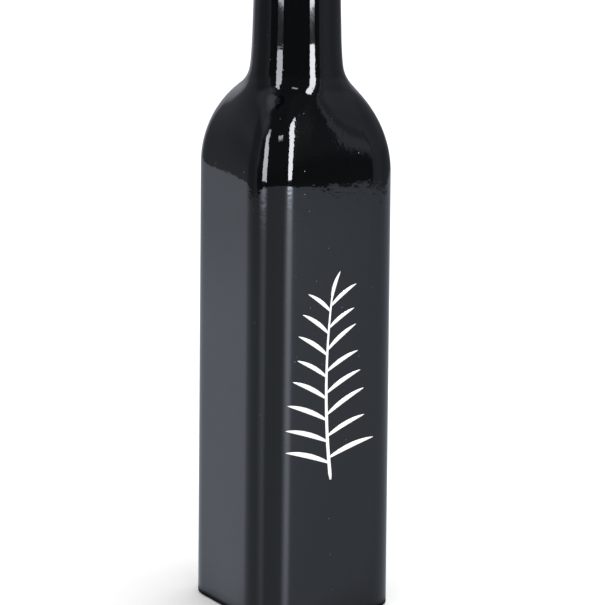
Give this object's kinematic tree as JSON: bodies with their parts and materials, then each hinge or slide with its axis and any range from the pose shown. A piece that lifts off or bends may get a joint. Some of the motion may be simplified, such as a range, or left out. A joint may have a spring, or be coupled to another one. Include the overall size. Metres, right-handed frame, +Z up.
{
  "type": "vinegar bottle",
  "caption": "Tall square table bottle for vinegar, glazed black, with rounded corners, a domed shoulder, a round neck with a rolled lip, and a plain bar-top stopper.",
  "frame": {"origin": "middle of the foot, in the plane that the bottle stands on", "axes": "+Z up along the bottle; the wide faces look along X and Y, and the printed face looks along -Y"},
  "size_m": [0.06, 0.06, 0.285],
  "materials": {
    "black_glaze": "gloss black glaze, opaque",
    "stopper_black": "satin",
    "print_white": "fired white enamel print"
  },
  "bodies": {
    "root": {"bottle": "black_glaze", "stopper": "stopper_black"}
  },
  "joints": []
}
